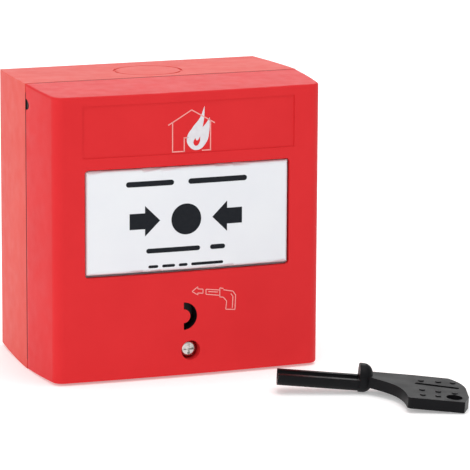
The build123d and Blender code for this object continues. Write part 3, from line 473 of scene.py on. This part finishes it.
def break_rim(mesh, depth, size):
    """Chamfers the outer edge of the rim at a depth by a size in mm.

    The size is plus for the cover's rim and minus for the box's.

    The rim's corners are all but square, so within RIM_CORNER of a corner the edge moves in on a slant.
    """
    bmesh.ops.bisect_plane(
        mesh, geom=[*mesh.verts, *mesh.edges, *mesh.faces], dist=0.001 * MM,
        plane_co=(0, -(depth + size) * MM, 0), plane_no=(0, 1, 0)
    )
    for vert in mesh.verts:
        place = vert.co / MM
        past = Vector((beyond(place.x, HALF_WIDTH), 0, beyond(place.z, HALF_HEIGHT)))
        if abs(place.y + depth) < RIM_TOLERANCE and past.length > RIM_CORNER - OUTLINE_TOLERANCE:
            vert.co -= past.normalized() * abs(size) * MM


def break_crisp_edges(mesh, size):
    """Breaks the crisp edges of a moulding by a size in mm."""
    limit = math.radians(CRISP_ANGLE)
    crisp = [e for e in mesh.edges if len(e.link_faces) == 2 and e.calc_face_angle() > limit]
    bmesh.ops.bevel(
        mesh, geom=crisp, offset=size * MM, offset_type="OFFSET", segments=2, profile=0.5, affect="EDGES",
        clamp_overlap=True, material=-1
    )


def fit_shell(mesh, name, material, node, body, smooth=30):
    """Puts a finished shell in the place of its CAD node, on its body, with its flat faces shaded flat."""
    piece = finished(mesh, name, material, smooth)
    weighted = piece.modifiers.new("even shading", "WEIGHTED_NORMAL")
    weighted.keep_sharp = True
    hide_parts(node)
    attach(piece, body)


def cover_shell():
    mesh = merged_copy("cover")
    break_rim(mesh, COVER_RIM, COVER_RIM_BREAK)
    break_crisp_edges(mesh, EDGE_BREAK)
    fit_shell(mesh, "cover_shell", RED, "cover", "front_cover")


def box_shell():
    mesh = merged_copy("back_box")
    break_rim(mesh, BOX_RIM, BOX_RIM_BREAK)
    break_crisp_edges(mesh, EDGE_BREAK)
    fit_shell(mesh, "box_shell", RED_BOX, "back_box", "base")


def panel_plate():
    """The press panel keeps the rounding of its CAD node, with each facet shaded flat."""
    mesh = merged_copy("press_panel", PANEL_FLAT_ANGLE)
    fit_shell(mesh, "panel_plate", WHITE, "press_panel", "panel", smooth=PANEL_SMOOTH_ANGLE)


def key_moulding():
    mesh = merged_copy("reset_key")
    break_crisp_edges(mesh, KEY_EDGE_BREAK)
    fit_shell(mesh, "key_moulding", BLACK, "reset_key", "key")


cover_shell()
box_shell()
panel_plate()
key_moulding()

# ================================================================ seam strip of painted shade, and panel flange
STRIP_INSET = 0.08
STRIP_WIDTH = 1.4
STRIP_CLEARANCE = 0.02
CORNER_STEPS = 8
SMALLEST_RADIUS = 0.2
FLANGE_REACH = 1.2
FLANGE_WIDTH = 3.0
FLANGE_CORNER = 1.5
FLANGE_BACK = 56.4
FLANGE_FRONT = 56.85


def rounded_loop(mesh, half_width, half_height, radius):
    """A closed edge loop round a rectangle with round corners, upright and facing the front, in mm."""
    points = []
    for quarter, (side_x, side_z) in enumerate(((1, 1), (-1, 1), (-1, -1), (1, -1))):
        for step in range(CORNER_STEPS + 1):
            angle = (quarter + step / CORNER_STEPS) * math.pi / 2
            x = side_x * (half_width - radius) + radius * math.cos(angle)
            z = side_z * (half_height - radius) + radius * math.sin(angle)
            points.append(mesh.verts.new((x * MM, 0, z * MM)))
    return [mesh.edges.new((a, b)) for a, b in zip(points, points[1:] + points[:1])]


def flat_frame(half_width, half_height, radius, width, back, front):
    """A flat rounded frame between two depths, its outer size given, in mm."""
    mesh = bmesh.new()
    loops = rounded_loop(mesh, half_width, half_height, radius)
    inner_radius = max(radius - width, SMALLEST_RADIUS)
    loops += rounded_loop(mesh, half_width - width, half_height - width, inner_radius)
    bmesh.ops.bridge_loops(mesh, edges=loops)
    give_body(mesh, back - front)
    bmesh.ops.translate(mesh, verts=mesh.verts, vec=(0, -back * MM, 0))
    bmesh.ops.recalc_face_normals(mesh, faces=mesh.faces)
    return mesh


def seam_shade_strip():
    """A dark strip of painted shade in the gap between the box and the cover, where the seam's shadow falls.
    Its corners are rounder than the case's.
    """
    strip = flat_frame(
        HALF_WIDTH - STRIP_INSET, HALF_HEIGHT - STRIP_INSET, RIM_CORNER - STRIP_INSET, STRIP_WIDTH,
        BOX_RIM + STRIP_CLEARANCE, COVER_RIM - STRIP_CLEARANCE
    )
    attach(finished(strip, "seam_shade_strip", BLACK), "base")


def panel_flange():
    """A light flange behind the window that closes the view past the panel's edges."""
    low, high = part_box("press_panel")
    flange = flat_frame(
        (high.x - low.x) / 2 / MM + FLANGE_REACH, (high.z - low.z) / 2 / MM + FLANGE_REACH, FLANGE_CORNER,
        FLANGE_WIDTH, FLANGE_BACK, FLANGE_FRONT
    )
    shift(flange, (low.x + high.x) / 2 / MM, (low.z + high.z) / 2 / MM)
    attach(finished(flange, "panel_flange", WHITE, smooth=30), "panel")


seam_shade_strip()
panel_flange()

# ================================================================ painted shade in the release notches
NOTCH_Z = 39.1
NOTCH_SHADE_RADIUS = 1.6
NOTCH_SHADE_SINK = 0.45
NOTCH_SHADE_THICKNESS = 0.3
NOTCH_SHADE_GAP = 0.05


def notch_shade_disc(name, side):
    """A dark half disc of painted shade just inside a release notch, where the notch's shadow falls, at the
    left (-1) or right (1) end of the seam.
    """
    shade_piece = bmesh.new()
    bmesh.ops.create_circle(shade_piece, cap_ends=True, radius=NOTCH_SHADE_RADIUS * MM, segments=32)
    bmesh.ops.bisect_plane(
        shade_piece, geom=[*shade_piece.verts, *shade_piece.edges, *shade_piece.faces],
        plane_co=(0, -NOTCH_SHADE_GAP * MM, 0), plane_no=(0, 1, 0), clear_outer=True
    )
    bmesh.ops.rotate(shade_piece, verts=shade_piece.verts, matrix=Matrix.Rotation(math.pi / 2, 3, "Y"))
    skin = bmesh.ops.extrude_face_region(shade_piece, geom=shade_piece.faces[:])["geom"]
    inner = [g for g in skin if isinstance(g, bmesh.types.BMVert)]
    bmesh.ops.translate(shade_piece, verts=inner, vec=(-side * NOTCH_SHADE_THICKNESS * MM, 0, 0))
    bmesh.ops.translate(
        shade_piece, verts=shade_piece.verts,
        vec=(side * (HALF_WIDTH - NOTCH_SHADE_SINK) * MM, -COVER_RIM * MM, NOTCH_Z * MM)
    )
    bmesh.ops.recalc_face_normals(shade_piece, faces=shade_piece.faces)
    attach(finished(shade_piece, name, RUBBER), "front_cover")


notch_shade_disc("notch_shade_left", -1)
notch_shade_disc("notch_shade_right", 1)

# ================================================================ painted shade in the key slot
SLOT_CENTRE = (-2.1, -25.9)
SHADE_SLEEVE_RADIUS = 4.38
SHADE_SLEEVE_WALL = 0.08
SHADE_SLEEVE_FRONT = 60.1
SHADE_SLEEVE_BACK = 56.4


def key_slot_shade_sleeve():
    """A thin dark half sleeve of painted shade along the outer wall of the key slot, where the wall's shadow
    falls.
    """
    shade_piece = bmesh.new()
    inner = SHADE_SLEEVE_RADIUS - SHADE_SLEEVE_WALL
    section = (
        (inner, SHADE_SLEEVE_FRONT), (SHADE_SLEEVE_RADIUS, SHADE_SLEEVE_FRONT),
        (SHADE_SLEEVE_RADIUS, SHADE_SLEEVE_BACK), (inner, SHADE_SLEEVE_BACK),
    )
    shade_piece.faces.new([shade_piece.verts.new((radius * MM, -depth * MM, 0)) for radius, depth in section])
    bmesh.ops.rotate(shade_piece, verts=shade_piece.verts, matrix=Matrix.Rotation(math.pi / 2, 3, "Y"))
    bmesh.ops.spin(
        shade_piece, geom=[*shade_piece.verts, *shade_piece.edges, *shade_piece.faces], cent=(0, 0, 0), axis=(0, -1, 0),
        dvec=(0, 0, 0), angle=math.pi, steps=24, use_merge=False
    )
    bmesh.ops.recalc_face_normals(shade_piece, faces=shade_piece.faces)
    shift(shade_piece, *SLOT_CENTRE)
    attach(finished(shade_piece, "key_slot_shade_sleeve", BLACK, smooth=30), "front_cover")


key_slot_shade_sleeve()


# ================================================================ springs
WIRE_RADIUS = 0.25
WIRE_SIDES = 10
TURN_STEPS = 28
CLOSED_RISE = 2.2


def coil_spring(node, name, pitch):
    """A compression spring of round wire with one closed turn at each end, in the place of its CAD node.
    """
    low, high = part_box(node)
    wire = WIRE_RADIUS * MM
    middle = (low + high) / 2
    radius = (high.x - low.x) / 2 - wire
    back = high.y - wire
    length = high.y - low.y - 2 * wire
    closed = CLOSED_RISE * wire
    turns = (length - 2 * closed) / (pitch * MM)
    coil = bmesh.new()
    bmesh.ops.create_circle(coil, segments=WIRE_SIDES, radius=wire)
    bmesh.ops.translate(coil, verts=coil.verts, vec=(middle.x + radius, back, middle.z))
    end = [*coil.verts, *coil.edges]
    for count, rise in ((1.0, closed), (turns, length - 2 * closed), (1.0, closed)):
        steps = round(count * TURN_STEPS)
        end = bmesh.ops.spin(
            coil, geom=end, cent=(middle.x, back, middle.z), axis=(0, 1, 0), dvec=(0, -rise / steps, 0),
            angle=count * 2 * math.pi, steps=steps, use_merge=False
        )["geom_last"]
    bmesh.ops.holes_fill(coil, edges=[e for e in coil.edges if e.is_boundary], sides=0)
    bmesh.ops.recalc_face_normals(coil, faces=coil.faces)
    spring = finished(coil, name, WIRE, smooth=60)
    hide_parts(node)
    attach(spring, "base")
    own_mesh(spring)


coil_spring("reset_spring", "reset_coil", pitch=1.9)
coil_spring("return_spring", "return_coil", pitch=1.43)

# ================================================================ circuit board details, in mm
BOARD_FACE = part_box("circuit_board")[0].y
TRACK_WIDTH = 0.9
TRACK_THICKNESS = 0.05
PAD_RADIUS = 0.95
PAD_THICKNESS = 2 * TRACK_THICKNESS
TERMINAL_PITCH = 5.1
TERMINAL_PINS = [(-8.45 + TERMINAL_PITCH * way, 23.0) for way in range(4)]
RESISTOR_XS = (-11.5, -6.5)
RESISTOR_Z = 8.0
LEAD_SPAN = 5.0
RESISTOR_PINS = [(x, RESISTOR_Z + side * LEAD_SPAN) for x in RESISTOR_XS for side in (1, -1)]
EDGE_PADS = ((24.5, 5.5), (24.5, 15.5), (24.5, 25.5))
THROUGH_HOLES = ((12.0, 19.0), (-4.0, -5.5), (-4.0, -2.0))
TRACKS = (
    (TERMINAL_PINS[0], (-8.45, 19.5), (-11.5, 16.4), RESISTOR_PINS[0]),
    (TERMINAL_PINS[1], (-3.35, 17.0), (-6.5, 14.6), RESISTOR_PINS[2]),
    (RESISTOR_PINS[1], (-11.5, -3.0), (-9.0, -5.5), THROUGH_HOLES[1]),
    (RESISTOR_PINS[3], (-6.5, 0.5), THROUGH_HOLES[2]),
    (TERMINAL_PINS[2], (1.75, 19.0), (9.0, 14.0), (9.0, 9.5), (14.0, 5.5), EDGE_PADS[0]),
    (TERMINAL_PINS[3], (6.85, 20.0), (13.0, 15.5), EDGE_PADS[1]),
    (EDGE_PADS[2], (16.0, 25.5), (12.0, 22.0), THROUGH_HOLES[0]),
)


def on_board(mesh, name, material, thickness):
    """Gives flat copper shapes their thickness and lays them on the board's front face."""
    bmesh.ops.recalc_face_normals(mesh, faces=mesh.faces)
    give_body(mesh, -thickness)
    bmesh.ops.translate(mesh, verts=mesh.verts, vec=(0, BOARD_FACE, 0))
    bmesh.ops.recalc_face_normals(mesh, faces=mesh.faces)
    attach(finished(mesh, name, material), "base")


def disc(mesh, x, z, radius, segments=24):
    """A flat disc centred on (x, z), in mm."""
    angles = [step * 2 * math.pi / segments for step in range(segments)]
    outline(mesh, [(x + radius * math.cos(angle), z + radius * math.sin(angle)) for angle in angles])


def board_tracks():
    """Copper tracks under the lacquer, with a round knee at each turn."""
    tracks = bmesh.new()
    for route in TRACKS:
        for start, end in zip(route, route[1:]):
            bar(tracks, start, end, TRACK_WIDTH)
        for x, z in route[1:-1]:
            disc(tracks, x, z, TRACK_WIDTH / 2, 12)
    on_board(tracks, "board_tracks", TRACK, TRACK_THICKNESS)


def solder_pads():
    pads = bmesh.new()
    for x, z in (*TERMINAL_PINS, *RESISTOR_PINS, *EDGE_PADS, *THROUGH_HOLES):
        disc(pads, x, z, PAD_RADIUS)
    on_board(pads, "solder_pads", SOLDER, PAD_THICKNESS)


board_tracks()
solder_pads()

# ================================================================ resistor bands
RESISTOR_RADIUS = 1.25
BAND_WIDTH = 0.55
BAND_LIFT = 0.03


def resistor_band(name, height, material):
    """One painted band, the same on both resistors, at a height in mm above the middle of the body."""
    low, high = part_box("resistors")
    bands = bmesh.new()
    for x in RESISTOR_XS:
        place = Matrix.Translation((
            x * MM, low.y + RESISTOR_RADIUS * MM, (low.z + high.z) / 2 + height * MM))
        ring = bmesh.ops.create_cone(
            bands, cap_ends=True, segments=32, radius1=(RESISTOR_RADIUS + BAND_LIFT) * MM,
            radius2=(RESISTOR_RADIUS + BAND_LIFT) * MM, depth=BAND_WIDTH * MM, matrix=place
        )["verts"]
        edges = dict.fromkeys(e for v in ring for e in v.link_edges)
        rims = [e for e in edges if abs(e.verts[0].co.z - e.verts[1].co.z) < BAND_LIFT * MM]
        bmesh.ops.bevel(
            bands, geom=rims, offset=BAND_LIFT * MM, segments=2, profile=0.5, affect="EDGES", material=-1
        )
    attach(finished(bands, name, material, smooth=30), "base")


resistor_band("resistor_first_band", 1.9, BAND_BROWN)
resistor_band("resistor_second_band", 0.8, BLACK)
resistor_band("resistor_third_band", -0.3, BUTTON_RED)
resistor_band("resistor_last_band", -1.9, BAND_GOLD)

# ================================================================ marks on the press panel
panel_low, panel_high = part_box("press_panel")
PANEL_X = (panel_low.x + panel_high.x) / 2 / MM
PANEL_Z = (panel_low.z + panel_high.z) / 2 / MM
DOT_X = PANEL_X + DOT_AT[0]
DOT_Z = PANEL_Z + DOT_AT[1]
IN_FRONT = cad_bounds[0].y - 0.05
panel_surface = surface("press_panel")
cover_surface = surface("cover")


def print_mark(mesh, name, material, behind, body):
    """Lays a flat mark on the surface behind it and lets it ride on that surface's body."""
    bmesh.ops.recalc_face_normals(mesh, faces=mesh.faces)
    drape(mesh, behind, IN_FRONT)
    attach(finished(mesh, name, material), body)


def panel_mark(mesh, name):
    print_mark(mesh, name, INK, panel_surface, "panel")


def cover_mark(mesh, name, material):
    print_mark(mesh, name, material, cover_surface, "front_cover")


def press_dot():
    """The round mark that is pressed, in the middle of the panel."""
    dot = bmesh.new()
    bmesh.ops.create_circle(dot, cap_ends=True, radius=DOT_RADIUS * MM, segments=64)
    bmesh.ops.rotate(dot, verts=dot.verts, matrix=Matrix.Rotation(math.pi / 2, 3, "X"))
    shift(dot, DOT_X, DOT_Z)
    panel_mark(dot, "press_dot")


def arrow(name, side):
    """A block arrow at the left (-1) or right (1) of the dot, pointing at it."""
    mesh = bmesh.new()
    neck = ARROW_TIP + ARROW_HEAD
    tail = ARROW_TIP + ARROW_LENGTH
    upper_half = ((neck, ARROW_HALF_HEIGHT), (neck, ARROW_SHAFT_HALF), (tail, ARROW_SHAFT_HALF))
    lower_half = [(x, -z) for x, z in reversed(upper_half)]
    outline(mesh, [(side * x, z) for x, z in ((ARROW_TIP, 0), *upper_half, *lower_half)])
    shift(mesh, DOT_X, DOT_Z + ARROW_RISE)
    panel_mark(mesh, name)


def legend(name, height, thickness, words):
    """A line of plain bars where a legend would stand, each bar as long as a word."""
    mesh = bmesh.new()
    for start, end in words:
        rounded_bar(mesh, (start + end) / 2, height, end - start, thickness)
    shift(mesh, PANEL_X, PANEL_Z)
    panel_mark(mesh, name)


press_dot()
arrow("arrow_left", -1)
arrow("arrow_right", 1)
legend("legend_upper", 11.6, 1.7, ((-20.4, -4.9), (-0.2, 19.2)))
legend("legend_lower", -9.6, 1.5, ((-13.9, 3.7), (7.0, 12.0)))
legend("legend_small", -14.6, 0.9, ((-13.2, -10.0), (-8.7, -4.5), (-3.3, -0.4), (0.8, 11.4)))

# ================================================================ symbols on the cover, in mm
# The house and its flame are drawn from the middle of the house's foot, and the key from its arrow's tip.
SYMBOL_X = 0.2
HOUSE_FOOT = 26.0
KEY_SYMBOL_AT = (0.6, -18.2)
ROOF = ((-7.4, 8.6), (0.2, 13.0), (7.8, 8.6))
HOUSE_WALLS = (
    ((-6.0, 9.4), (-6.0, 0.2)), ((-6.2, 0.2), (-2.2, 0.2)),
    ((-2.2, 0), (-2.2, 4.4)), ((-2.4, 4.4), (-0.6, 4.4)),
    ((6.4, 9.4), (6.4, 0.2)), ((6.6, 0.2), (3.6, 0.2)),
)
BODY_OF_FLAME = (
    (4.4, 14.0, 0), (4.3, 10.6), (3.8, 7.4, 0), (5.0, 8.7), (6.1, 10.4, 0), (6.0, 6.2), (5.0, 2.6),
    (2.1, 0.4), (-0.7, 1.8), (-1.3, 4.4), (0.6, 7.6), (2.9, 10.4),
)
EYE_OF_FLAME = ((3.0, 4.6, 0), (2.8, 2.7), (1.7, 1.7), (0.8, 2.6), (1.4, 4.2, 0), (1.9, 3.4))
KEY_ARROW = ((0, 0), (1.9, 1.4), (1.9, 0.7), (3.6, 0.5), (3.6, -0.8), (1.9, -0.6), (1.9, -1.2), (0, 0))
KEY_SHAFT = (
    ((4.6, 0.4), (9.2, -0.2)), ((4.6, -1.2), (9.2, -1.9)), ((4.6, 0.4), (4.6, -1.2)),
    ((9.2, 0.5), (9.2, -2.4)), ((9.2, 0.5), (10.4, 0.2)), ((9.2, -2.4), (10.4, -2.6)),
)
KEY_GRIP = (
    (10.4, -0.2), (13.6, -0.9), (14.5, -2.2), (14.3, -6.8), (11.2, -6.5), (11.5, -3.9), (10.4, -2.6))
KEY_GROOVES = (((5.4, -0.4), (8.6, -0.8)), ((12.9, -1.6), (13.6, -2.6)), ((13.6, -2.6), (13.4, -6.2)))


def strokes_through(points):
    """The strokes that join each point to the next."""
    return zip(points, points[1:])


def house_symbol():
    house = bmesh.new()
    for start, end in (*strokes_through(ROOF), *HOUSE_WALLS):
        bar(house, start, end, STROKE)
    shift(house, SYMBOL_X, HOUSE_FOOT)
    cover_mark(house, "house_symbol", PALE_INK)


def flame_symbol():
    flame = bmesh.new()
    filled_curve(flame, (BODY_OF_FLAME, EYE_OF_FLAME))
    shift(flame, SYMBOL_X, HOUSE_FOOT)
    cover_mark(flame, "flame_symbol", FLAME_INK)


def key_symbol():
    """An outline of the reset key, with an arrow that points into its slot."""
    key = bmesh.new()
    for start, end in (*strokes_through(KEY_ARROW), *KEY_SHAFT, *strokes_through(KEY_GRIP), *KEY_GROOVES):
        bar(key, start, end, KEY_STROKE)
    shift(key, *KEY_SYMBOL_AT)
    cover_mark(key, "key_symbol", PALE_INK)


house_symbol()
flame_symbol()
key_symbol()


# ================================================================ stage, light and camera
def pale_floor():
    """A plain floor level with the underside of the case, a hair below it."""
    floor = bmesh.new()
    bmesh.ops.create_grid(floor, x_segments=1, y_segments=1, size=FLOOR_SIZE)
    bmesh.ops.translate(floor, verts=floor.verts, vec=(0, 0, cad_bounds[0].z - FLOOR_GAP * MM))
    floor_data = bpy.data.meshes.new("floor")
    floor.to_mesh(floor_data)
    floor.free()
    floor_object = bpy.data.objects.new("floor", floor_data)
    bpy.context.scene.collection.objects.link(floor_object)
    paint, _, shader, _ = blank_material("pale_floor")
    shader.inputs["Base Color"].default_value = (0.88, 0.88, 0.88, 1)
    shader.inputs["Emission Color"].default_value = (1, 1, 1, 1)
    shader.inputs["Emission Strength"].default_value = FLOOR_GLOW
    shader.inputs["Roughness"].default_value = 0.9
    shader.inputs["Specular IOR Level"].default_value = 0.1
    floor_data.materials.append(paint)


def studio_walls():
    """Even white light from all round."""
    world = bpy.data.worlds.new("studio")
    bpy.context.scene.world = world
    world.use_nodes = True
    background = world.node_tree.nodes["Background"]
    background.inputs["Color"].default_value = (1.0, 1.0, 1.0, 1)
    background.inputs["Strength"].default_value = SKY


def away(azimuth, elevation):
    """The direction out from the case for two angles in radians; azimuth 0 is straight in front of it."""
    level = math.cos(elevation)
    return Vector((math.sin(azimuth) * level, -math.cos(azimuth) * level, math.sin(elevation)))


def softbox(name, azimuth, elevation, distance, size, power):
    """A square light that faces the wall mount's centre from a direction in degrees; metres and watts."""
    lamp = bpy.data.lights.new(name, "AREA")
    lamp.shape = "SQUARE"
    lamp.size = size
    lamp.energy = power
    back = away(math.radians(azimuth), math.radians(elevation))
    light = bpy.data.objects.new(name, lamp)
    light.location = back * distance
    light.rotation_mode = "QUATERNION"
    light.rotation_quaternion = back.to_track_quat("Z", "Y")
    bpy.context.scene.collection.objects.link(light)


def studio_camera():
    camera_data = bpy.data.cameras.new("camera")
    camera_data.lens = CAMERA_LENS
    camera_data.sensor_width = SENSOR_WIDTH
    camera_data.clip_start = 0.1
    camera_data.clip_end = 20.0
    camera = bpy.data.objects.new("camera", camera_data)
    bpy.context.scene.collection.objects.link(camera)
    back = away(CAMERA_AZIMUTH, CAMERA_ELEVATION)
    roll = Matrix.Rotation(CAMERA_ROLL, 3, "Z").to_quaternion()
    camera.rotation_mode = "QUATERNION"
    camera.rotation_quaternion = back.to_track_quat("Z", "Y") @ roll
    camera.location = CAMERA_TARGET + back * CAMERA_DISTANCE
    bpy.context.scene.camera = camera


pale_floor()
studio_walls()
softbox("overhead_softbox", 20.0, 75.0, distance=1.6, size=1.4, power=12.5)
softbox("front_softbox", -50.0, 25.0, distance=1.8, size=1.0, power=6.0)
softbox("side_softbox", -100.0, 15.0, distance=1.8, size=1.0, power=4.5)
softbox("rear_softbox", 160.0, 35.0, distance=1.8, size=1.0, power=9.0)
studio_camera()
bpy.context.scene.view_settings.view_transform = "Standard"
